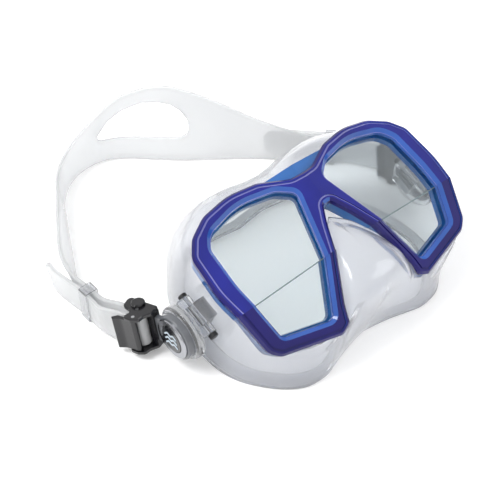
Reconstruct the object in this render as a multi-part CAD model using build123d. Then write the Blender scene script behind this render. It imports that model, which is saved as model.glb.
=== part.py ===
from build123d import *
from math import cos, radians, sin
import os

os.makedirs("parts", exist_ok=True)

# Everything is in millimetres and degrees. The mask lies face up on its skirt, the strap behind it.
# "Lens frame": x across the face, y into the mask, z up the forehead, origin on the fold line.
FOLD_AT = (3.82, -88.35, 57.6)  # where the middle of the fold line stands on the table
RECLINE = 69.3  # turn from the worn attitude to the lying one
DISH = 6.2  # each lens turns back from the middle by this much
FOLD = 24.0  # the lower panes turn back again by this much
NOSE_LINE = -2.5  # how far the middle of the frame stands forward

FRAME_DEPTH = 7.0
BEZEL_DEPTH = 4.4
LENS_THICK = 3.2
LENS_LAP = 2.2  # glass hidden under the bezel all round
FIT = 0.05  # radial clearance of a running fit

# Outlines of the +X half, unfolded flat on the panes: across, up, corner radius.
RIM = [
    (-9, 46.5, 3),
    (8, 48.0, 12),
    (26, 56.8, 14),
    (45, 60.0, 40),
    (64, 57.2, 16),
    (77, 50.0, 10),
    (84.5, 40.5, 9),
    (86.5, 15, 60),
    (84.6, 0, 60),
    (80.3, -25.0, 8),
    (75, -30.8, 7),
    (36.5, -41.4, 5),
    (29.8, -38.5, 4),
    (27.0, -28.0, 40),
    (8.6, 14, 60),
    (2.5, 25, 4),
    (-9, 25, 3),
]
WINDOW = [
    (10.2, 39.5, 5),
    (20, 47.2, 12),
    (43, 52.2, 40),
    (66.5, 47.0, 12),
    (72.2, 39, 7),
    (73.6, 14, 60),
    (72.4, -1, 20),
    (68.6, -22.6, 4),
    (37.0, -31.4, 4.5),
    (22.6, 0, 30),
]
BROW_HALF = 27.0  # the straight brow bar reaches this far either side
BROW_TOP = 55.6

# Side hardware, local frame: x outward, y along the strap, z across its width.
DISC_AT = (96.0, 35.0, -36.8)  # centre of the base, from the fold line, lying attitude
STRAP_DIP = 11.0  # buckles and strap run down to the table by this angle
BUCKLE_AT = (5.25, 9.0)  # where the buckle's own frame starts, x out and y along
SPLAY = {-1: 20.0, 1: 3.0}  # each buckle turns outwards by this much
BASE_R = 17.0
BOSS_R = 11.0
RING_R = 14.4
BADGE_R = 8.4
PIN_AT = (88.0, 35.5)  # hinge pin, lens frame x and y
PIN_MID = 20.0
PIN_LONG = 25.4
PIN_R = 1.2
STRAP_WIDE = 22.0
STRAP_THICK = 2.2
ROLLER_AT = (3.4, 15.2)  # buckle frame
ROLLER_R = 2.2
LEVER_AT = (9.95, 13.7)
AXLE_R = 1.0
CHEEK = 2.2

PARTS = {}


def outline(points):
    """Closed face through (across, up, radius) corners."""
    corners = [(a, b) for a, b, r in points]
    return make_face(FilletPolyline(*corners, radius=[r for a, b, r in points], close=True))


def pane(lower, lift=0.0):
    """Drawing plane of the upper or lower pane of the +X lens, moved forward by lift."""
    across = Vector(cos(radians(DISH)), sin(radians(DISH)), 0)
    front = Vector(sin(radians(DISH)), -cos(radians(DISH)), 0)
    if lower:
        front = front * cos(radians(FOLD)) - Vector(0, 0, 1) * sin(radians(FOLD))
    return Plane(origin=Vector(0, NOSE_LINE, 0) + front * lift, x_dir=across, z_dir=front)


def fold_plane(gap=0.0):
    """Mitre plane through the fold line, moved up by gap."""
    across = Vector(cos(radians(DISH)), sin(radians(DISH)), 0)
    front = Vector(sin(radians(DISH)), -cos(radians(DISH)), 0)
    up = Vector(0, 0, 1) * cos(radians(FOLD / 2)) + front * sin(radians(FOLD / 2))
    return Plane(origin=Vector(0, NOSE_LINE, 0) + up * gap, x_dir=across, z_dir=up)


def slab(face, lower, back, front, gap=0.0):
    """One pane's share of a folded plate between two lifts."""
    solid = extrude(pane(lower, back) * face, amount=front - back)
    if lower:
        return split(solid, bisect_by=fold_plane(-gap), keep=Keep.BOTTOM)
    return split(solid, bisect_by=fold_plane(gap), keep=Keep.TOP)


def folded(face, back, front):
    """A plate bent at the fold line, its +X half only."""
    plate = slab(face, False, back, front) + slab(face, True, back, front)
    return split(plate, bisect_by=Plane.YZ, keep=Keep.TOP)


def both(half):
    return half + mirror(half, about=Plane.YZ)


def lying(shape):
    """From the lens frame to the table."""
    return Pos(*FOLD_AT) * Rot(-RECLINE, 0, 0) * shape


def at_disc(shape, side):
    """From the side hardware's frame to the table, on either side."""
    placed = Pos(*DISC_AT) * Rot(-STRAP_DIP, 0, 0) * shape
    if side < 0:
        placed = mirror(placed, about=Plane.YZ)
    return Pos(*FOLD_AT) * placed


def at_buckle(shape, side):
    """From a buckle's own frame to the table."""
    x, y = BUCKLE_AT
    return at_disc(Pos(x, y, 0) * Rot(0, 0, -SPLAY[side]) * shape, side)


def on_side(shape, side):
    """Mirrors a lens-frame shape for the -X side."""
    return shape if side > 0 else mirror(shape, about=Plane.YZ)


def grown(points, amount):
    return offset(outline(points), amount=amount, kind=Kind.ARC)


def chamfered_plate(face, back, front, size, windows):
    """Folded plate with its front outer edge and its window edges chamfered."""
    plates = []
    for lower in (False, True):
        solid = extrude(pane(lower, back) * face, amount=front - back)
        top = solid.faces().sort_by(lambda f: f.center().dot(pane(lower).z_dir))[-1]
        solid = chamfer(top.edges(), size)
        cut = extrude(pane(lower, front) * offset(windows, amount=2.2), amount=-2.2, taper=42)
        solid = solid - cut - extrude(pane(lower, back - 1) * windows, amount=front - back + 2)
        keep = Keep.BOTTOM if lower else Keep.TOP
        plates.append(split(solid, bisect_by=fold_plane(), keep=keep))
    return split(plates[0] + plates[1], bisect_by=Plane.YZ, keep=Keep.TOP)


def front_bezel():
    half = chamfered_plate(outline(RIM), 0, BEZEL_DEPTH, 1.5, outline(WINDOW))
    groove = offset(outline(RIM), amount=-2.6) - offset(outline(RIM), amount=-3.6)
    channel = folded(groove, BEZEL_DEPTH - 0.7, BEZEL_DEPTH + 1)
    return lying(both(half - channel))


def main_frame():
    """Tray behind the bezel: lens seats, side wall, brow bar and nose flange."""
    brow = Pos(BROW_HALF / 2 - 3, 51) * Rectangle(BROW_HALF + 6, 2 * (BROW_TOP - 51))
    face = offset(outline(RIM), amount=-0.6) + brow
    tray = folded(face, -FRAME_DEPTH, 0)
    seat = grown(WINDOW, LENS_LAP + 0.1)
    tray -= folded(seat, -LENS_THICK - 0.4, 1)
    tray -= folded(grown(WINDOW, -0.6), -FRAME_DEPTH - 1, 1)
    hook = Pos(33, -39) * Rectangle(4, 4)
    tray += folded(offset(outline(RIM), amount=0.7) & hook, -FRAME_DEPTH, -1.5)
    return lying(both(tray))


def lens(side, lower):
    plate = slab(grown(WINDOW, LENS_LAP), lower, -LENS_THICK - 0.4, -0.4, 0.1)
    return lying(on_side(plate, side))


def loop_face(plane, points):
    """Face inside a smooth closed curve symmetric about x = 0; points run from top to bottom."""
    mirrored = [(-x, y) for x, y in reversed(points) if x > 0]
    return plane * make_face(Spline(*(points + mirrored), periodic=True))


def shrunk(points, wall):
    """The same half outline, moved inwards by wall."""
    middle = sum(y for x, y in points) / len(points)
    widest = max(x for x, y in points)
    tall = (max(y for x, y in points) - min(y for x, y in points)) / 2
    return [(x * (1 - wall / widest), middle + (y - middle) * (1 - wall / tall)) for x, y in points]


FRONT_LOOP = [
    (0, 51),
    (27, 53.5),
    (48, 54.5),
    (66, 49.5),
    (77, 38),
    (80, 16),
    (77.5, -6),
    (71, -24),
    (56, -31),
    (38, -35),
    (18, -36),
    (0, -34),
]
WAIST_LOOP = [
    (0, 69),
    (27, 73),
    (46, 72),
    (63, 62),
    (75, 46),
    (79, 22),
    (77, -2),
    (71, -20),
    (58, -30),
    (40, -34),
    (20, -34),
    (0, -30),
]
SEAL_LOOP = [
    (0, 100),
    (28, 102),
    (52, 95),
    (69, 76),
    (79, 50),
    (82, 19),
    (78, -2),
    (66, -19),
    (54, -28),
    (42, -30),
    (22, -24),
    (0, -20),
]
SEAL_LEAN = -6.0  # the soft skirt leans over to this side where it lies on the table
WAIST_BACK = 27.0
SKIRT_WALL = 2.4


def skirt_body(wall, behind):
    """Flaring skirt as a solid, cut off behind the folded panes."""
    front = Plane(origin=(0, -12, 0), x_dir=(1, 0, 0), z_dir=(0, -1, 0))
    waist = Plane(origin=(0, WAIST_BACK, 0), x_dir=(1, 0, 0), z_dir=(0, -1, 0))
    seal = Plane(origin=(SEAL_LEAN, 0, -FOLD_AT[2]))
    upper = Rot(-RECLINE, 0, 0) * loop_face(front, shrunk(FRONT_LOOP, wall))
    middle = Rot(-RECLINE, 0, 0) * loop_face(waist, shrunk(WAIST_LOOP, wall))
    lower = loop_face(seal, shrunk(SEAL_LOOP, wall))
    body = Rot(RECLINE, 0, 0) * loft([upper, middle, lower], ruled=True)
    for side in (1, -1):
        for low in (False, True):
            front = on_side(extrude(pane(low, -behind) * Rectangle(400, 400), amount=60), side)
            body -= front
    return body


def nose_pocket(wall):
    """Pocket that comes forward between the lower panes."""
    levels = [(17.5 - wall, 2.6, 5.5, 18), (-5, 11.5, 1.5, 32), (-29 + wall, 19.5, -2.5, 40)]
    faces = []
    for up, half, front, back in levels:
        deep = back - front - wall
        middle = (front + wall + back) / 2
        shape = Pos(0, middle) * RectangleRounded(2 * (half - wall * 0.8), deep, (half - wall * 0.8) * 0.6)
        faces.append(Plane.XY.offset(up) * shape)
    return loft(faces, ruled=True)


def skirt():
    """Silicone skirt: hollow, with two lens windows, a nose pocket and a turned-in seal."""
    outer = skirt_body(0, FRAME_DEPTH) + nose_pocket(0)
    inner = skirt_body(SKIRT_WALL, FRAME_DEPTH + 2) + nose_pocket(1.8)
    shell = outer - inner
    for side in (1, -1):
        for lower in (False, True):
            hole = extrude(pane(lower, -FRAME_DEPTH - 6) * grown(WINDOW, -2.5), amount=12)
            shell -= on_side(hole, side)
    table = lying(shell)
    rim = loop_face(Plane.XY, shrunk(SEAL_LOOP, 1.1)) - loop_face(Plane.XY, shrunk(SEAL_LOOP, 11))
    return table + Pos(FOLD_AT[0] + SEAL_LEAN, FOLD_AT[1], 0) * extrude(rim, amount=1.6)


def ear_bracket(side):
    """Clear knuckle block moulded against the skirt's side, round the hinge pin."""
    x, y = PIN_AT
    block = Pos(x - 7, y - 1, PIN_MID) * Box(14, 11, 13)
    block = fillet(block.edges().filter_by(Axis.Z), 2.5)
    barrel = Pos(x, y, PIN_MID) * Cylinder(3.6, 13)
    hole = Pos(x, y, PIN_MID) * Cylinder(PIN_R, 20)
    body = on_side(block + barrel - hole, side) - skirt_body(0, FRAME_DEPTH)
    body = max(body.solids(), key=lambda s: s.volume)
    return lying(body)


def pin_place(side):
    return Pos(side * PIN_AT[0], PIN_AT[1], PIN_MID)


def hinge_pin(side):
    return lying(pin_place(side) * Cylinder(PIN_R, PIN_LONG + 2))


def pin_caps(side):
    """Two small black ends pressed on the hinge pin."""
    caps = []
    for way in (1, -1):
        cap = Pos(0, 0, way * (PIN_LONG / 2 + 1.5)) * Cylinder(2.7, 2.6)
        cap -= Cylinder(PIN_R, PIN_LONG + 2)
        cap = fillet(cap.edges().sort_by(Axis.Z)[-1 if way > 0 else 0], 0.6)
        caps.append(lying(pin_place(side) * cap))
    return caps


def swivel_base(side):
    """Clear dish with a boss for the ring and two knuckles on the hinge pin."""
    dish = Pos(0, 0, 0) * Rot(0, 90, 0) * Cylinder(BASE_R, 6)
    dish = fillet(dish.edges(), 1.6)
    boss = Pos(5.2, 0, 0) * Rot(0, 90, 0) * Cylinder(BOSS_R, 4.6)
    body = Pos(*DISC_AT) * (dish + boss)
    body = Rot(RECLINE, 0, 0) * body
    x, y = PIN_AT
    for way in (1, -1):
        middle = PIN_MID + way * (6.7 + PIN_LONG / 2) / 2
        tall = PIN_LONG / 2 - 6.7
        knuckle = Pos(x, y, middle) * Cylinder(3.4, tall)
        arm = Pos(x + 3, y, middle) * Box(6, 6.4, tall)
        body += knuckle + arm
    body -= Pos(x, y, PIN_MID) * Cylinder(PIN_R + FIT, 60)
    return lying(on_side(body, side))


def swivel_ring(side):
    """Grey ring that turns on the boss; its tongue goes into the buckle."""
    ring = Pos(5.25, 0, 0) * Rot(0, 90, 0) * Cylinder(RING_R, 4.1)
    ring = fillet(ring.edges().sort_by(Axis.X)[-1], 1.0)
    tongue = Pos(*BUCKLE_AT, 0) * Rot(0, 0, -SPLAY[side]) * (Pos(0, 5, 0) * Box(3.2, 6, 17))
    tongue -= Pos(9.7, 0, 0) * Rot(0, 90, 0) * Cylinder(12.8, 4.7)
    bore = Rot(0, 90, 0) * Cylinder(BOSS_R + FIT, 40)
    return at_disc(ring + tongue - bore, side)


def ring_cap(side):
    """Bright ring that keeps the swivel ring on the boss."""
    ring = Pos(8.1, 0, 0) * Rot(0, 90, 0) * (Cylinder(12.6, 1.2) - Cylinder(BADGE_R + 0.1, 4))
    ring = chamfer(ring.edges().group_by(Axis.X)[-1], 0.4)
    return at_disc(ring, side)


def badge(side):
    """Round black badge with three raised waves."""
    disc = Pos(8.2, 0, 0) * Rot(0, 90, 0) * Cylinder(BADGE_R, 1.4)
    return at_disc(disc, side)


def badge_mark(side):
    """Three inlaid waves, a plain mark of the sea."""
    waves = []
    for row in (-3.2, 0, 3.2):
        corners = [(-4.9, row - 0.8), (-2.5, row + 1.0), (0, row - 0.8), (2.5, row + 1.0), (4.9, row - 0.8)]
        line = FilletPolyline(*corners, radius=1.2)
        stroke = make_face(offset(line, amount=0.5, side=Side.BOTH))
        waves.append(at_disc(extrude(Plane.YZ.offset(8.9) * stroke, amount=0.3), side))
    return waves


# Buckle outlines in the buckle frame: x outward, y along the strap, corner radius.
CHEEK_SHAPE = [
    (-3.4, 5.4, 1.2),
    (3.3, 5.4, 2.0),
    (7.2, 8.6, 4.0),
    (11.3, 9.8, 2.0),
    (12.9, 13.8, 2.4),
    (12.5, 18.7, 1.2),
    (10.7, 19.6, 1.0),
    (7.2, 18.0, 1.6),
    (5.2, 19.8, 1.5),
    (3.2, 25.2, 2.4),
    (-3.6, 26.0, 2.2),
    (-4.0, 19.0, 3.0),
]


def pinhole(place, radius):
    return Pos(place[0], place[1], 0) * Cylinder(radius, 80)


def buckle_frame(side):
    """Black buckle: two cheeks with knobs, a front bar, an inner guide and a thumb barrel."""
    half = STRAP_WIDE / 2 + 0.3
    body = None
    for way in (1, -1):
        cheek = extrude(outline(CHEEK_SHAPE), amount=CHEEK)
        cheek = Pos(0, 0, half) * cheek if way > 0 else Pos(0, 0, -half - CHEEK) * cheek
        cheek = chamfer(cheek.faces().sort_by(Axis.Z)[-1 if way > 0 else 0].edges(), 0.5)
        knob = Pos(-0.5, 17, way * (half + CHEEK + 0.8)) * Cylinder(4.2, 2.0)
        knob = fillet(knob.edges().sort_by(Axis.Z)[-1 if way > 0 else 0], 0.9)
        body = cheek + knob if body is None else body + cheek + knob
    body += Pos(0, 7.1, 0) * Box(6.4, 3.4, 2 * half)
    body += Pos(-2.6, 17, 0) * Box(1.6, 18, 2 * half)
    body += Pos(-3.8, 24.7, 0) * Cylinder(2.3, 2 * half)
    body -= Pos(0, 6.1, 0) * Box(3.4, 4.0, 17.2)
    body -= pinhole(ROLLER_AT, AXLE_R)
    body -= pinhole(LEVER_AT, AXLE_R)
    # Room for the ring and, behind it, for the dish that the ring turns on.
    local = Rot(0, 0, SPLAY[side]) * Pos(-BUCKLE_AT[0], -BUCKLE_AT[1], 0)
    body -= local * Pos(3.2, 0, 0) * Rot(0, 90, 0) * Cylinder(RING_R + 0.1, 8.4)
    body -= local * Pos(-1.2, 0, 0) * Rot(0, 90, 0) * Cylinder(BASE_R + 0.5, 9.0)
    return at_buckle(body, side)


def axle(place, side):
    long = STRAP_WIDE + 2 * CHEEK + 0.6
    return at_buckle(Pos(place[0], place[1], 0) * Cylinder(AXLE_R, long), side)


def roller(side):
    body = Pos(*ROLLER_AT) * Cylinder(ROLLER_R, STRAP_WIDE) - pinhole(ROLLER_AT, AXLE_R + FIT)
    return at_buckle(body, side)


LEVER_SHAPE = [
    (8.25, 15.8, 0.3),
    (8.65, 12.6, 1.2),
    (11.35, 11.8, 1.2),
    (12.15, 14.2, 1.2),
    (11.75, 21.7, 6.0),
    (13.55, 26.4, 0.9),
    (12.15, 27.8, 0.6),
    (9.65, 24.8, 1.6),
    (9.65, 18.8, 1.0),
    (8.55, 18.0, 0.3),
]


def cam_lever(side):
    """Toothed lever that pinches the strap against the roller; its end curls out as a lip."""
    body = Pos(0, 0, -STRAP_WIDE / 2) * extrude(outline(LEVER_SHAPE), amount=STRAP_WIDE)
    body -= pinhole(LEVER_AT, AXLE_R + FIT)
    return at_buckle(body, side)


# Strap routes in plan, from midway between the discs: x, y, bend radius.
TURN_R = ROLLER_R + 0.2 + STRAP_THICK / 2
MAIN_X = ROLLER_AT[0] - TURN_R
TAIL_X = ROLLER_AT[0] + TURN_R
WALL_FROM = 27.3  # the upright strap starts this far along the buckle frame


def buckle_plan(x, side):
    """Plan place where a run of strap leaves the buckle."""
    turn = radians(SPLAY[side])
    out = DISC_AT[0] + BUCKLE_AT[0] + x * cos(turn) + WALL_FROM * sin(turn)
    along = BUCKLE_AT[1] - x * sin(turn) + WALL_FROM * cos(turn)
    return (side * out, along * cos(radians(STRAP_DIP)), 0)


LOOP = [
    buckle_plan(MAIN_X, -1),
    (-116.8, 51.0, 40),
    (-116.8, 76.0, 60),
    (-83.5, 141.0, 150),
    (-66.5, 161.5, 50),
    (-46.0, 174.0, 24),
    (-28.5, 167.3, 24),
    (-17.0, 160.8, 10),
    (12.0, 132.4, 200),
    (46.7, 105.3, 200),
    (103.1, 45.5, 12),
    buckle_plan(MAIN_X, 1),
]
TAIL_LEFT = [
    buckle_plan(TAIL_X, -1),
    (-121.9, 44.6, 25),
    (-120.7, 60.0, 50),
    (-123.0, 84.0, 60),
    (-120.5, 101.0, 0),
]
TAIL_RIGHT = [
    buckle_plan(TAIL_X, 1),
    (110.05, 44.4, 14),
    (54.0, 103.6, 0),
]
# The wide back of the strap, on an upright plane facing it: along, up, corner radius.
BACK_AT = (4.0, 140.0)
BACK_OUTLINE = [
    (-98, 0.1, 0.1),
    (-98, 22.6, 1),
    (-58, 33, 60),
    (-12, 66, 28),
    (16, 66, 28),
    (64, 25, 12),
    (72, 22, 2),
    (72, 0.1, 0.1),
]
BACK_HOLE = [
    (-12, 19.5, 5),
    (-15, 33, 9),
    (-3, 49.5, 9),
    (16, 49.5, 14),
    (40, 34, 10),
    (47, 17, 4),
]


def ribbon(points):
    """Strip one strap thickness wide along a plan route."""
    corners = [(x, y) for x, y, r in points]
    route = FilletPolyline(*corners, radius=[r for x, y, r in points[1:-1]])
    return make_face(offset(route, amount=STRAP_THICK / 2, side=Side.BOTH))


def run(points, end, rounding):
    """Upright strap along a plan route, sloping down to the table and trimmed at y = end."""
    view = [
        (18, 6.5, 1),
        (44.8, 1.3, 80),
        (end, 1.3, rounding),
        (end, 23.0, rounding),
        (44.8, 23.0, 80),
        (18, 28.1, 1),
    ]
    trim = extrude(Plane.YZ.offset(-150) * outline(view), amount=300)
    return extrude(ribbon(points), amount=90) & trim


def back_prism(points, near, far):
    """Prism through the back of the strap between two depths."""
    along = (-0.736, 0.677, 0)
    out = (0.677, 0.736, 0)
    plane = Plane(origin=(*BACK_AT, 0), x_dir=along, z_dir=out)
    return extrude(plane.offset(near) * outline(points), amount=far - near)


def strap_end(side):
    """The strap doubled back round the roller."""
    corner = ROLLER_AT[1] - TURN_R
    far = WALL_FROM + 4
    turn = TURN_R - 0.01
    points = [(MAIN_X, far, 0), (MAIN_X, corner, turn), (TAIL_X, corner, turn), (TAIL_X, far, 0)]
    body = Pos(0, 0, -STRAP_WIDE / 2) * extrude(ribbon(points), amount=STRAP_WIDE)
    return at_buckle(body, side)


def strap():
    """Flat strap standing on its edge, doubled back round both rollers, widened and split behind."""
    body = run(LOOP, 190, 1)
    body += extrude(ribbon(LOOP), amount=90) & back_prism(BACK_OUTLINE, -32, 15)
    body -= back_prism(BACK_HOLE, -22, 15)
    body += run(TAIL_LEFT, 99, 9)
    body += run(TAIL_RIGHT, 102, 9)
    body = Pos(FOLD_AT[0], FOLD_AT[1] + DISC_AT[1], 0) * body
    return body + strap_end(1) + strap_end(-1)


KEEPER_LEFT = (-118.8, 60.0, 0.0)
KEEPER_RIGHT = (85.4, 67.3, 43.3)


def strap_keeper(spec):
    """Clear loop round the strap and its tail."""
    x, y, turn = spec
    ring = Box(8.9, 7.0, STRAP_WIDE + 2.2)
    ring = fillet(ring.edges().filter_by(Axis.Y), 1.2)
    ring -= Box(7.1, 9.0, STRAP_WIDE + 0.4)
    place = Pos(FOLD_AT[0] + x, FOLD_AT[1] + DISC_AT[1] + y, 12.15)
    return place * Rot(0, 0, turn) * ring


PARTS["front_bezel"] = front_bezel()
PARTS["main_frame"] = main_frame()
PARTS["skirt"] = skirt()
PARTS["strap"] = strap()
PARTS["keeper_left"] = strap_keeper(KEEPER_LEFT)
PARTS["keeper_right"] = strap_keeper(KEEPER_RIGHT)
for name, side in (("left", -1), ("right", 1)):
    PARTS["upper_lens_" + name] = lens(side, False)
    PARTS["lower_lens_" + name] = lens(side, True)
    PARTS["ear_bracket_" + name] = ear_bracket(side)
    PARTS["hinge_pin_" + name] = hinge_pin(side)
    PARTS["pin_caps_" + name] = Compound(children=[s for c in pin_caps(side) for s in c.solids()])
    PARTS["swivel_base_" + name] = swivel_base(side)
    PARTS["swivel_ring_" + name] = swivel_ring(side)
    PARTS["ring_cap_" + name] = ring_cap(side)
    PARTS["badge_" + name] = badge(side)
    PARTS["badge_mark_" + name] = Compound(children=[s for w in badge_mark(side) for s in w.solids()])
    PARTS["buckle_frame_" + name] = buckle_frame(side)
    PARTS["cam_lever_" + name] = cam_lever(side)
    PARTS["roller_" + name] = roller(side)
    PARTS["roller_axle_" + name] = axle(ROLLER_AT, side)
    PARTS["lever_axle_" + name] = axle(LEVER_AT, side)

for name, shape in PARTS.items():
    export_step(shape, "parts/" + name + ".step")
    print(name, len(shape.solids()), round(shape.volume), shape.bounding_box())
whole = Compound(children=[s for shape in PARTS.values() for s in shape.solids()])
print("whole", whole.bounding_box())
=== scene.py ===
import math

import bmesh
import bpy
import numpy as np
from mathutils import Matrix, Vector


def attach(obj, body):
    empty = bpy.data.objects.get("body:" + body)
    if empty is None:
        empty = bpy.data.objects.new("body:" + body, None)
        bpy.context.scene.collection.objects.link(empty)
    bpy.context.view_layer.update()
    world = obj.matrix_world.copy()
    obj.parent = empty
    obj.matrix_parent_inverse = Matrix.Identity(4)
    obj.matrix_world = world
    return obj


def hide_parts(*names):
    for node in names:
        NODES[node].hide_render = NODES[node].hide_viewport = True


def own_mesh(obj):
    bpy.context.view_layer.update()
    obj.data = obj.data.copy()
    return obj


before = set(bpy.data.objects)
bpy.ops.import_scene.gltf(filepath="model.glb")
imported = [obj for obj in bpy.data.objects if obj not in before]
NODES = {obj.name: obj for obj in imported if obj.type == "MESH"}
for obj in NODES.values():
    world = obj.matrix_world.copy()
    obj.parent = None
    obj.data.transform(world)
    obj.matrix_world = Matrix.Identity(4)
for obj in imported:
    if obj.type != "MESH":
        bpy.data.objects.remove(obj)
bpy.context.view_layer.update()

MM = 0.001
FOLD_AT = Vector((3.82, -88.35, 57.6))  # middle of the fold line, as in the CAD model
RECLINE = math.radians(69.3)
DISH = math.radians(6.2)  # turn of each pane towards its temple
FOLD = math.radians(24.0)  # angle between an upper and a lower pane
NOSE_LINE = -2.5  # where the two sides' panes would meet, along the lens frame's y
SIDES = (("left", -1), ("right", 1))


def lens_point(x, y, z):
    """Lens frame (x across, y into the mask, z up the forehead) to the table, in metres."""
    c, s = math.cos(RECLINE), math.sin(RECLINE)
    return (Vector((x, c * y + s * z, -s * y + c * z)) + FOLD_AT) * MM


# ---------------------------------------------------------------- camera and light
RIGHT = Vector((0.751, -0.661, 0.0)).normalized()
UP = Vector((0.473, 0.538, 0.698))
UP = (UP - RIGHT * UP.dot(RIGHT)).normalized()
BACK = RIGHT.cross(UP)
CAMERA_FROM_FOLD = Vector((-332.35, -290.4, 440.35))
LIGHT_AIM = Vector((0.0, 0.0, 0.03))
camera_data = bpy.data.cameras.new("camera")
camera_data.lens = 79.2
camera_data.sensor_width = 36.0
camera_data.clip_end = 20.0
camera = bpy.data.objects.new("camera", camera_data)
place = Matrix((RIGHT, UP, BACK)).transposed().to_4x4()
place.translation = (FOLD_AT + CAMERA_FROM_FOLD) * MM
camera.matrix_world = place
bpy.context.scene.collection.objects.link(camera)
bpy.context.scene.camera = camera
bpy.context.scene.view_settings.view_transform = "Standard"


def area_light(name, position, size, power, colour=(1, 1, 1)):
    data = bpy.data.lights.new(name, "AREA")
    data.shape = "DISK"
    data.size = size
    data.energy = power
    data.color = colour
    light = bpy.data.objects.new(name, data)
    light.location = position
    aim = LIGHT_AIM - Vector(position)
    light.rotation_euler = aim.to_track_quat("-Z", "Y").to_euler()
    bpy.context.scene.collection.objects.link(light)


area_light("key", (-0.55, 0.25, 0.95), 0.5, 7.0)
area_light("fill", (0.7, -0.7, 0.8), 0.7, 4.0)
world = bpy.data.worlds.new("studio")
world.use_nodes = True
world.node_tree.nodes["Background"].inputs["Color"].default_value = (1.0, 1.0, 1.0, 1)
world.node_tree.nodes["Background"].inputs["Strength"].default_value = 0.82
bpy.context.scene.world = world


# ---------------------------------------------------------------- materials
def material(
    name, colour, rough=0.3, variation=0.06, scale=60.0, bump=0.1, bump_scale=400.0,
    metallic=0.0, transmission=0.0, ior=1.45, coat=0.0, stretch=(1, 1, 1), glow=0.0,
):
    """Principled material whose colour, roughness and surface all vary through noise."""
    m = bpy.data.materials.new(name)
    m.use_nodes = True
    nodes, links = m.node_tree.nodes, m.node_tree.links
    shader = nodes["Principled BSDF"]
    own_place = nodes.new("ShaderNodeTexCoord")
    mapping = nodes.new("ShaderNodeMapping")
    mapping.inputs["Scale"].default_value = stretch
    links.new(own_place.outputs["Object"], mapping.inputs["Vector"])
    large = nodes.new("ShaderNodeTexNoise")
    large.inputs["Scale"].default_value = scale
    large.inputs["Detail"].default_value = 4.0
    fine = nodes.new("ShaderNodeTexNoise")
    fine.inputs["Scale"].default_value = bump_scale
    fine.inputs["Detail"].default_value = 6.0
    for texture in (large, fine):
        links.new(mapping.outputs["Vector"], texture.inputs["Vector"])
    ramp = nodes.new("ShaderNodeValToRGB")
    ramp.color_ramp.elements[0].position = 0.3
    ramp.color_ramp.elements[1].position = 0.7
    ramp.color_ramp.elements[0].color = (*[c * (1 - variation) for c in colour], 1)
    ramp.color_ramp.elements[1].color = (*[min(1, c * (1 + variation)) for c in colour], 1)
    links.new(large.outputs["Fac"], ramp.inputs["Fac"])
    links.new(ramp.outputs["Color"], shader.inputs["Base Color"])
    spread = nodes.new("ShaderNodeMapRange")
    spread.inputs["To Min"].default_value = rough * 0.75
    spread.inputs["To Max"].default_value = min(1.0, rough * 1.3)
    links.new(fine.outputs["Fac"], spread.inputs["Value"])
    links.new(spread.outputs["Result"], shader.inputs["Roughness"])
    relief = nodes.new("ShaderNodeBump")
    relief.inputs["Strength"].default_value = bump
    relief.inputs["Distance"].default_value = 0.0003
    links.new(fine.outputs["Fac"], relief.inputs["Height"])
    links.new(relief.outputs["Normal"], shader.inputs["Normal"])
    shader.inputs["Metallic"].default_value = metallic
    shader.inputs["Transmission Weight"].default_value = transmission
    shader.inputs["IOR"].default_value = ior
    shader.inputs["Coat Weight"].default_value = coat
    if glow:
        shader.inputs["Emission Color"].default_value = (1, 1, 1, 1)
        shader.inputs["Emission Strength"].default_value = glow
    return m


FLOOR = material("floor_paper", (0.94, 0.94, 0.94), rough=0.9, variation=0.004, bump=0.02, glow=0.16)
BEZEL = material("bezel_face", (0.012, 0.016, 0.22), rough=0.13, variation=0.25, scale=25, bump=0.02,
                 transmission=0.2, ior=1.36, coat=0.2)
# Painted shade: a darker copy of the bezel resin for the faces turned away from the window.
BEZEL_PAINTED_SHADE = material("bezel_outer_band_painted_shade", (0.012, 0.009, 0.13), rough=0.14, variation=0.2, scale=25,
                       bump=0.02, transmission=0.15, ior=1.36, coat=0.2)
# Painted light: a lighter copy of the bezel resin for the faces turned to the window.
BEZEL_PAINTED_LIGHT = material("bezel_inner_band_painted_light", (0.045, 0.15, 0.60), rough=0.08, variation=0.2, scale=25,
                       bump=0.02, transmission=0.4, ior=1.4, coat=0.3)
# Painted highlight: a pale lilac line on the bezel's groove faces stands in for the reflection along its
# ridges.
BEZEL_PAINTED_HIGHLIGHT = material("bezel_painted_highlight_line", (0.30, 0.30, 0.72), rough=0.15, variation=0.1, scale=25,
                      bump=0.02, transmission=0.2, coat=0.6)
TRAY = material("frame_plastic", (0.03, 0.20, 0.62), rough=0.08, variation=0.12, scale=30, bump=0.02,
                transmission=0.55, ior=1.5, coat=0.5)
GLASS = material("lens_glass", (0.90, 0.955, 0.95), rough=0.01, variation=0.006, bump=0.0,
                 transmission=1.0, ior=1.3)
FOLD_LINE = material("lens_fold_line", (0.10, 0.15, 0.16), rough=0.3, variation=0.2, bump=0.05)
SKIRT = material("skirt_silicone", (0.89, 0.90, 0.93), rough=0.12, variation=0.015, scale=14, bump=0.012,
                 bump_scale=180, transmission=0.85, ior=1.36)
STRAP = material("strap_silicone", (0.87, 0.88, 0.89), rough=0.22, variation=0.015, scale=18, bump=0.012,
                 bump_scale=220, transmission=0.55, ior=1.4)
CLEAR = material("clear_plastic", (0.90, 0.91, 0.93), rough=0.05, variation=0.02, bump=0.03,
                 transmission=0.92, ior=1.49)
SMOKE = material("smoke_plastic", (0.20, 0.21, 0.23), rough=0.12, variation=0.08, bump=0.05,
                 transmission=0.35, ior=1.45, coat=0.4)
BRIGHT = material("bright_ring", (0.42, 0.43, 0.46), rough=0.14, variation=0.05, metallic=1.0, bump=0.05,
                  bump_scale=900, stretch=(1, 8, 1))
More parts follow.
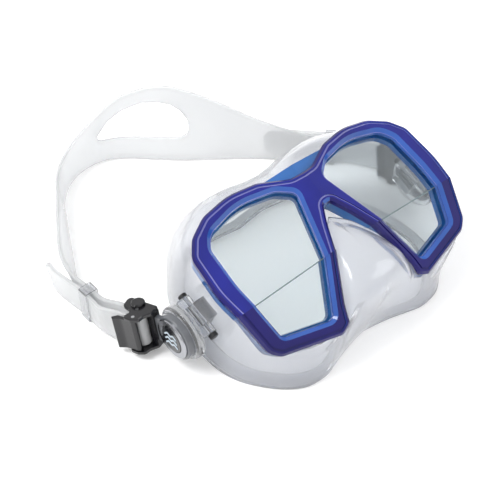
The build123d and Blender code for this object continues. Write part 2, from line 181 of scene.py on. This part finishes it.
BLACK = material("black_plastic", (0.008, 0.008, 0.010), rough=0.22, variation=0.3, bump=0.12,
                 bump_scale=900, coat=0.4)
BADGE = material("badge_enamel", (0.010, 0.011, 0.014), rough=0.15, variation=0.3, bump=0.04, coat=0.5)
MARK = material("badge_inlay", (0.55, 0.63, 0.70), rough=0.35, variation=0.06, bump=0.1)
STEEL = material("pin_steel", (0.50, 0.51, 0.53), rough=0.28, variation=0.08, metallic=1.0, bump=0.15,
                 bump_scale=1500, stretch=(1, 1, 0.05))
CAP = material("cap_plastic", (0.015, 0.015, 0.017), rough=0.35, variation=0.3, bump=0.15, bump_scale=1200)

CAD_LOOKS = {"main_frame": TRAY, "front_bezel": BEZEL}
for side_name, side in SIDES:
    for stem, look in (
        ("upper_lens_", GLASS), ("lower_lens_", GLASS), ("ear_bracket_", CLEAR), ("hinge_pin_", STEEL),
        ("pin_caps_", CAP), ("swivel_base_", CLEAR), ("swivel_ring_", SMOKE), ("ring_cap_", BRIGHT),
        ("badge_", BADGE), ("badge_mark_", MARK), ("buckle_frame_", BLACK), ("cam_lever_", BLACK),
        ("roller_", BLACK), ("roller_axle_", STEEL), ("lever_axle_", STEEL), ("keeper_", CLEAR),
    ):
        CAD_LOOKS[stem + side_name] = look
for node, look in CAD_LOOKS.items():
    NODES[node].data.materials.clear()
    NODES[node].data.materials.append(look)


# ---------------------------------------------------------------- mesh helpers
def new_piece(name, vertices, faces, look, smooth=True):
    mesh = bpy.data.meshes.new(name)
    mesh.from_pydata([tuple(v) for v in vertices], [], faces)
    mesh.validate()
    piece = bpy.data.objects.new(name, mesh)
    bpy.context.scene.collection.objects.link(piece)
    mesh.materials.append(look)
    bm = bmesh.new()
    bm.from_mesh(mesh)
    bmesh.ops.recalc_face_normals(bm, faces=bm.faces)
    bm.to_mesh(mesh)
    bm.free()
    if smooth:
        mesh.polygons.foreach_set("use_smooth", [True] * len(mesh.polygons))
    return piece


def catmull(points, count):
    """Resamples rows of numbers evenly in index along a smooth curve through all of them."""
    points = np.array(points, float)
    ends = np.vstack([2 * points[:1] - points[1:2], points, 2 * points[-1:] - points[-2:-1]])
    out = []
    for t in np.linspace(0, len(points) - 1, count):
        i = min(int(t), len(points) - 2)
        f = t - i
        p0, p1, p2, p3 = ends[i], ends[i + 1], ends[i + 2], ends[i + 3]
        out.append(0.5 * (2 * p1 + (p2 - p0) * f + (2 * p0 - 5 * p1 + 4 * p2 - p3) * f ** 2
                          + (3 * p1 - p0 - 3 * p2 + p3) * f ** 3))
    return np.array(out)


def thick_grid(name, grid, half, keep, look, wrap=False):
    """Closed sheet from a grid of points.

    half is half its thickness at each point, and keep says which cells are there.
    """
    rows, cols = grid.shape[:2]
    if wrap:
        along = np.roll(grid, -1, 1) - np.roll(grid, 1, 1)
    else:
        along = np.gradient(grid, axis=1)
    across = np.gradient(grid, axis=0)
    normal = np.cross(along, across)
    normal /= np.linalg.norm(normal, axis=2, keepdims=True) + 1e-12
    front = grid + normal * half[..., None]
    back = grid - normal * half[..., None]
    vertices = np.vstack([front.reshape(-1, 3), back.reshape(-1, 3)])
    shift = rows * cols
    faces = []
    used = {}
    for i in range(rows - 1):
        for j in range(cols if wrap else cols - 1):
            if not keep[i, j]:
                continue
            k = (j + 1) % cols
            quad = (i * cols + j, i * cols + k, (i + 1) * cols + k, (i + 1) * cols + j)
            faces.append(quad)
            faces.append(tuple(v + shift for v in reversed(quad)))
            for a, b in zip(quad, quad[1:] + quad[:1]):
                used[(a, b)] = True
    for a, b in used:
        if (b, a) not in used:
            faces.append((b, a, a + shift, b + shift))
    present = sorted({v for f in faces for v in f})
    number = {v: n for n, v in enumerate(present)}
    return new_piece(name, vertices[present] * MM, [tuple(number[v] for v in f) for f in faces], look)


# ---------------------------------------------------------------- bezel and lens details
def to_lens(v):
    """Table to lens frame, in millimetres."""
    c, s = math.cos(RECLINE), math.sin(RECLINE)
    d = v / MM - FOLD_AT
    return Vector((d.x, c * d.y - s * d.z, s * d.y + c * d.z))


def lens_turn(n):
    """Direction on the table to the lens frame."""
    c, s = math.cos(RECLINE), math.sin(RECLINE)
    return Vector((n.x, c * n.y - s * n.z, s * n.y + c * n.z))


def pane_lift(p):
    """How far a point in the lens frame stands in front of the pane it belongs to."""
    d = Vector((abs(p.x), p.y - NOSE_LINE, 0))
    front = d.x * math.sin(DISH) - d.y * math.cos(DISH)
    return front if p.z > 0 else front * math.cos(FOLD) - p.z * math.sin(FOLD)


WINDOW_AT = (45, 12)  # about the middle of a window, across and up
FACE_LOOK, OUTER_SHADE_LOOK, INNER_LIGHT_LOOK, HIGHLIGHT_LOOK = range(4)


def bezel_look(p, n):
    """Which of the bezel's looks a face has, from its place and its direction in the lens frame: a painted
    highlight on the front faces in the groove, painted light on faces turned to the window and painted
    shade on faces turned away.
    """
    if -n.y > 0.93:
        # Front faces low in the groove get the painted highlight line.
        return HIGHLIGHT_LOOK if pane_lift(p) < 4.1 else FACE_LOOK
    to_window = Vector((math.copysign(WINDOW_AT[0], p.x) - p.x, 0, WINDOW_AT[1] - p.z)).normalized()
    # Faces turned to the window get the lighter copy (painted light), the others the darker copy (painted
    # shade).
    return INNER_LIGHT_LOOK if Vector((n.x, 0, n.z)).dot(to_window) > 0 else OUTER_SHADE_LOOK


def make_bezel():
    """Copy of the CAD bezel with its front, its outer band of painted shade, its inner band of painted
    light and its lines of painted highlight told apart.
    """
    bezel = NODES["front_bezel"].copy()
    bezel.data = NODES["front_bezel"].data.copy()
    bezel.name = "bezel_body"
    bpy.context.scene.collection.objects.link(bezel)
    bezel.data.materials.clear()
    for look in (BEZEL, BEZEL_PAINTED_SHADE, BEZEL_PAINTED_LIGHT, BEZEL_PAINTED_HIGHLIGHT):
        bezel.data.materials.append(look)
    turn = bezel.matrix_world.to_3x3()
    for face in bezel.data.polygons:
        place_on_lens = to_lens(bezel.matrix_world @ face.center)
        face.material_index = bezel_look(place_on_lens, lens_turn(turn @ face.normal))
    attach(bezel, "mask")
    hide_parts("front_bezel")


def fold_line(name, side):
    """Thin dark line along the joint of the upper and the lower pane."""
    corners = []
    for across in (22.0, 73.0):
        for lift, up in ((-0.75, 0), (-0.42, -0.32), (-0.28, 0), (-0.42, 0.32)):
            x = across * math.cos(DISH) + lift * math.sin(DISH)
            y = NOSE_LINE + across * math.sin(DISH) - lift * math.cos(DISH)
            corners.append(lens_point(side * x, y, up))
    faces = [(0, 1, 2, 3), (7, 6, 5, 4)] + [(i, i + 4, (i + 1) % 4 + 4, (i + 1) % 4) for i in range(4)]
    piece = new_piece(name, corners, faces, FOLD_LINE, smooth=False)
    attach(piece, "mask")


make_bezel()
for side_name, side in SIDES:
    fold_line("lens_fold_" + side_name, side)

# ---------------------------------------------------------------- skirt
# Lens frame, +X half, from the forehead round to the nose: each line runs from the frame to the seal.
SKIRT_LINES = [
    [(0, 4.5, 50), (0, 10, 57), (0, 26, 68.5), (0, 48, 76), (0, 69, 77), (0, 89.2, 73.2)],
    [(14, 5, 51), (14, 11, 58.5), (14, 26, 70), (14, 48, 77), (14, 70, 78), (14, 89.7, 74.6)],
    [(30, 6, 54), (30, 12, 61), (30, 26, 72.5), (29, 48, 79), (28.5, 70, 79), (28, 89.9, 75)],
    [(47, 7, 55), (47.5, 13, 62), (48, 26, 71.5), (50, 46, 77), (51.5, 67, 77), (52, 87.4, 68.5)],
    [(63, 8, 52), (65, 14, 57), (67, 27, 62), (68.5, 45, 62), (69, 63, 58), (69, 80.7, 50.7)],
    [(75, 9, 45), (76, 15, 47), (77, 28, 48), (78, 44, 44), (79, 58, 36), (79, 71.5, 26.4)],
    [(81.5, 9.5, 33), (81, 15, 33), (80, 27, 31), (80, 42, 25), (81, 54, 17), (82, 64.5, 7.7)],
    [(83, 10, 14), (82, 15, 14), (80.5, 26, 12), (80, 40, 7), (81, 50, 0), (82, 58.1, -9.1)],
    [(81, 10.5, -3), (80.5, 15, -4.5), (80, 24, -6), (79, 36, -10), (78, 46, -16), (77, 52.5, -24.1)],
    [(76, 15, -22), (75.5, 19, -24), (74.5, 25, -25.5), (72, 33, -28), (69, 42, -32), (66, 47.2, -38.2)],
    [(62, 18, -31), (61, 21, -33.5), (60, 25, -35), (58.5, 31, -37), (56.5, 38, -40.5), (54, 44, -46.6)],
    [(42, 17, -34.5), (42, 20, -36.5), (42, 23, -38.5), (42, 28, -40.5), (42, 36, -44), (42, 43.3, -48.4)],
    [(27, 12, -27), (27, 12.5, -30), (27, 14, -33), (28, 19, -36.5), (30, 31, -41), (31, 44.4, -45.7)],
    [(19, 5, -9), (19.5, 3, -16), (20, 1.5, -23), (21, 7, -32.5), (21, 25, -38), (21, 45.4, -42.8)],
    [(10, 4.5, 9), (11, 0, -5), (12, -2.5, -19), (12.5, 2, -31), (12, 22, -37), (10, 46.3, -40.5)],
    [(0, 5, 19), (0, -1, 2), (0, -4, -18), (0, 1, -32), (0, 22, -37), (0, 46.8, -39)],
]
SEAL_LEAN = -6.0
LIP_WIDTH = 10.0
SKIRT_ROWS = 34
SKIRT_COLUMNS = 91  # on one half, from the forehead's middle to the nose's
LOWEST = 1.2  # middle of the seal's wall above the table


def skirt_grid():
    """Middle surface of the skirt's wall, from the frame to the seal and round its turned-in lip."""
    lines = np.array([catmull(line, SKIRT_ROWS) for line in SKIRT_LINES])
    half = np.array([catmull(lines[:, r], SKIRT_COLUMNS) for r in range(SKIRT_ROWS)])
    other = half[:, 1:-1][:, ::-1].copy()
    other[..., 0] *= -1
    ring = np.concatenate([half, other], axis=1)
    c, s = math.cos(RECLINE), math.sin(RECLINE)
    table = np.stack([ring[..., 0], c * ring[..., 1] + s * ring[..., 2],
                      -s * ring[..., 1] + c * ring[..., 2]], axis=-1) + np.array(FOLD_AT)
    table[..., 0] += SEAL_LEAN * (np.clip(np.linspace(-0.2, 1, SKIRT_ROWS), 0, 1) ** 1.5)[:, None]
    table[..., 2] = np.maximum(table[..., 2], LOWEST)
    # Turned-in lip: rounds over at the table and runs back towards the middle.
    seal = table[-1]
    middle = seal.mean(0)
    inward = middle - seal
    inward[:, 2] = 0
    inward /= np.linalg.norm(inward, axis=1, keepdims=True)
    lip = []
    for step in (0.12, 0.3, 0.5, 0.7, 0.88, 1.0):
        row = seal + inward * LIP_WIDTH * step
        row[:, 2] = LOWEST + 2.2 * step ** 2
        lip.append(row)
    return np.concatenate([table, np.array(lip)], axis=0)


def make_skirt():
    grid = skirt_grid()
    half = np.full(grid.shape[:2], 1.1)
    half[:3] = 1.5  # thicker where the frame holds it
    half[SKIRT_ROWS - 3:SKIRT_ROWS + 1] = 1.15  # at the bend of the seal
    half[-2] = 0.8  # the lip feathers out
    half[-1] = 0.35
    skirt = thick_grid("skirt_shell", grid, half, np.ones(grid.shape[:2], bool), SKIRT, wrap=True)
    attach(skirt, "mask")
    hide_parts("skirt")


make_skirt()

# ---------------------------------------------------------------- strap
DISC = Vector((96.0, 35.0, -36.8))
DIP = math.radians(11.0)
SPLAY = {-1: math.radians(20.0), 1: math.radians(3.0)}
STRAP_HALF = 11.0
ROLLER = (3.4, 15.2)
TURN_R = 3.5


def buckle_point(x, y, z, side):
    """Buckle frame to the table, in millimetres."""
    c, s = math.cos(SPLAY[side]), math.sin(SPLAY[side])
    out, along = 5.25 + x * c + y * s, 9.0 - x * s + y * c
    c, s = math.cos(DIP), math.sin(DIP)
    return (FOLD_AT.x + side * (DISC.x + out), FOLD_AT.y + DISC.y + along * c + z * s,
            FOLD_AT.z + DISC.z - along * s + z * c)


def on_buckle(x, y, side):
    """Strap station at a point of the buckle: its lower and its upper edge."""
    return (*buckle_point(x, y, -STRAP_HALF, side), *buckle_point(x, y, STRAP_HALF, side))


def turn_round(side, start):
    """Stations round the roller, from the tail (start = 1) to the main run or the other way."""
    stations = []
    for step in range(7):
        angle = math.pi * step / 6
        x = ROLLER[0] + start * TURN_R * math.cos(angle)
        stations.append(on_buckle(x, ROLLER[1] - TURN_R * math.sin(angle), side))
    return stations


def upright(x0, y0, z0, x1, y1, z1):
    """Station by its lower and upper edges, x from the mask's middle and y from the discs."""
    return (FOLD_AT.x + x0, FOLD_AT.y + DISC.y + y0, z0, FOLD_AT.x + x1, FOLD_AT.y + DISC.y + y1, z1)


TAIL_LEFT = [
    upright(-120.6, 99.5, 1.6, -122.6, 99.5, 22.8),
    upright(-122.6, 92.0, 1.4, -124.0, 92.0, 23.0),
    upright(-123.2, 84.0, 1.3, -124.2, 84.0, 23.0),
    upright(-122.2, 73.0, 1.3, -122.9, 73.0, 23.0),
    upright(-121.0, 62.0, 1.3, -121.2, 62.0, 23.0),
    upright(-121.2, 52.0, 1.3, -121.3, 52.5, 23.0),
    upright(-120.7, 43.5, 1.7, -121.3, 44.6, 23.3),
]
LOOP = [
    upright(-115.6, 47.0, 1.4, -116.1, 48.2, 23.2),
    upright(-116.9, 55.0, 1.3, -117.0, 55.5, 23.0),
    upright(-116.9, 63.0, 1.3, -117.3, 63.0, 23.0),
    upright(-115.6, 76.0, 1.0, -118.6, 76.0, 23.0),
    upright(-110.5, 88.0, 0.9, -116.0, 90.0, 22.8),
    upright(-103.5, 101.0, 0.9, -110.0, 103.0, 22.8),
    upright(-93.2, 120.7, 0.9, -97.6, 122.5, 23.0),
    upright(-84.7, 136.3, 0.9, -87.0, 138.0, 23.6),
    upright(-77.1, 149.7, 0.9, -78.0, 151.0, 24.4),
    upright(-66.4, 161.2, 0.9, -67.0, 161.8, 25.4),
    upright(-52.4, 168.4, 0.9, -52.6, 168.6, 29.0),
    upright(-38.8, 170.0, 0.9, -38.8, 170.0, 36.0),
    upright(-26.8, 167.2, 0.9, -26.8, 167.2, 45.0),
    upright(-15.8, 160.0, 0.9, -15.8, 160.0, 54.5),
    upright(-1.0, 145.0, 0.9, -1.0, 145.0, 62.6),
    upright(12.0, 132.4, 0.9, 12.0, 132.4, 60.5),
    upright(31.2, 117.2, 0.9, 31.2, 117.2, 48.5),
    upright(46.7, 104.5, 0.9, 46.7, 104.5, 36.5),
    upright(62.0, 89.3, 0.9, 62.0, 89.3, 27.8),
    upright(74.0, 76.6, 1.1, 74.0, 76.6, 23.8),
    upright(85.0, 64.7, 1.3, 85.0, 64.7, 23.0),
    upright(95.0, 54.2, 1.3, 95.2, 54.4, 23.0),
]
TAIL_RIGHT = [
    upright(109.2, 43.4, 1.6, 109.4, 45.2, 23.4),
    upright(104.0, 50.9, 1.3, 104.0, 51.2, 23.0),
    upright(94.0, 61.4, 1.3, 94.0, 61.4, 23.0),
    upright(83.0, 73.1, 1.3, 83.0, 73.1, 23.0),
    upright(72.0, 84.8, 1.3, 72.0, 84.8, 23.0),
    upright(61.0, 96.5, 1.3, 61.0, 96.5, 23.0),
    upright(55.7, 102.0, 1.4, 55.7, 102.0, 22.9),
]
STATIONS = (
    TAIL_LEFT
    + [on_buckle(6.9, y, -1) for y in (31, 24, 18)]
    + turn_round(-1, 1)
    + [on_buckle(-0.1, y, -1) for y in (18, 24, 31)]
    + LOOP
    + [on_buckle(-0.1, y, 1) for y in (31, 24, 18)]
    + turn_round(1, -1)
    + [on_buckle(6.9, y, 1) for y in (18, 24, 31)]
    + TAIL_RIGHT
)
STEP = 1.0
TIP_ROUND = 10.0  # how far from a free end its rounding starts
BACK_AT = (4, 140)  # middle of the wide back in plan, from the mask's middle and the discs
BACK_ALONG = (-0.736, 0.677)
HOLE = [  # along the back of the strap, lower and upper edge of the split
    (-14.6, 28.0, 31.0), (-13.0, 23.5, 36.0), (-9.0, 20.0, 43.0), (-3.0, 19.2, 47.6), (5.0, 19.0, 49.2),
    (16.0, 18.6, 48.2), (30.0, 17.8, 41.0), (40.0, 17.3, 33.0), (45.0, 17.6, 26.5), (47.5, 19.5, 23.0),
]


def strap_columns():
    """Lower and upper edge points of the strap, a millimetre apart along its middle."""
    dense = catmull(STATIONS, (len(STATIONS) - 1) * 24 + 1)
    middle = (dense[:, :3] + dense[:, 3:]) / 2
    run = np.concatenate([[0], np.cumsum(np.linalg.norm(np.diff(middle, axis=0), axis=1))])
    at = np.linspace(0, run[-1], int(run[-1] / STEP))
    return at, np.stack([np.interp(at, run, dense[:, k]) for k in range(6)], axis=1)


def smoothstep(a, b, v):
    """0 below a, 1 above b and a smooth rise between them."""
    t = np.clip((v - a) / (b - a), 0, 1)
    return t * t * (3 - 2 * t)


def split_shares(plan, height):
    """Where the split's edges lie as shares of the strap's height, and at which columns it is open."""
    back_t = (plan[:, 0] - BACK_AT[0]) * BACK_ALONG[0] + (plan[:, 1] - BACK_AT[1]) * BACK_ALONG[1]
    on_back = (plan[:, 1] > 110) & (plan[:, 0] > -47)
    hole = np.array(HOLE)
    start, end = hole[0, 0], hole[-1, 0]
    inside = on_back & (back_t > start) & (back_t < end)
    away = np.where(on_back, np.maximum(start - back_t, back_t - end), 99)
    blend = smoothstep(0, 22, np.clip(away, 0, 99))
    f_low = (1 - blend) * (np.interp(back_t, hole[:, 0], hole[:, 1]) / height) + blend * 0.4
    f_high = (1 - blend) * (np.interp(back_t, hole[:, 0], hole[:, 2]) / height) + blend * 0.6
    return f_low, f_high, inside


def rib_height(at, share, height, plan, edge_gap):
    """Slanted ribs beside each buckle, on the main run and on the tail."""
    slant = at[None] + 0.45 * share * height[None]
    wave = smoothstep(0.1, 0.75, np.sin(slant * 2 * math.pi / 5.2))
    ribbed = smoothstep(4, 8, plan[:, 1] - 30) * (1 - smoothstep(34, 40, plan[:, 1]))
    ribbed = np.maximum(ribbed, smoothstep(36, 42, plan[:, 1]) * (1 - smoothstep(60, 70, plan[:, 1])))
    return 0.22 * wave * ribbed[None] * smoothstep(2.6, 3.4, edge_gap)


def make_strap():
    at, columns = strap_columns()
    low, high = columns[:, :3], columns[:, 3:]
    height = np.linalg.norm(high - low, axis=1)
    plan = (low - np.array([FOLD_AT.x, FOLD_AT.y + DISC.y, 0]))[:, :2]
    f_low, f_high, inside = split_shares(plan, height)
    strand = np.array([0, 0.03, 0.08, 0.15, 0.24, 0.37, 0.5, 0.63, 0.76, 0.85, 0.92, 0.97, 1.0])
    between = np.array([0.25, 0.5, 0.75])
    share = np.concatenate([
        strand[:, None] * f_low[None],
        f_low[None] + between[:, None] * (f_high - f_low)[None],
        f_high[None] + strand[:, None] * (1 - f_high)[None],
    ])
    tip = np.minimum(at, at[-1] - at)
    squeeze = np.sqrt(np.clip(1 - (1 - np.clip(tip / TIP_ROUND, 0, 1)) ** 2, 0.0004, 1))
    share = 0.5 + (share - 0.5) * squeeze[None]
    grid = low[None] + share[..., None] * (high - low)[None]
    edge_gap = np.minimum(share, 1 - share) * height[None]
    for edge in (f_low, f_high):
        gap = np.abs(share - (0.5 + (edge - 0.5) * squeeze)[None]) * height[None] + 60 * (~inside)[None]
        edge_gap = np.minimum(edge_gap, gap)
    edge_gap = np.minimum(edge_gap, tip[None])
    # A raised rim along every edge, and a thinner web inside it.
    half = 0.5 + 0.72 * smoothstep(0, 0.5, edge_gap) - 0.32 * smoothstep(1.3, 2.1, edge_gap)
    half = half + rib_height(at, share, height, plan, edge_gap)
    keep = np.ones((grid.shape[0] - 1, grid.shape[1] - 1), bool)
    first, last = len(strand) - 1, len(strand) + len(between)
    keep[first:last, :] = ~(inside[:-1] & inside[1:])[None]
    strap = thick_grid("strap_band", grid, half, keep, STRAP)
    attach(strap, "strap")
    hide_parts("strap")
    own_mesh(strap)


make_strap()

# ---------------------------------------------------------------- floor
floor = new_piece("floor", [(-3, -3, 0), (3, -3, 0), (3, 3, 0), (-3, 3, 0)], [(0, 1, 2, 3)], FLOOR)
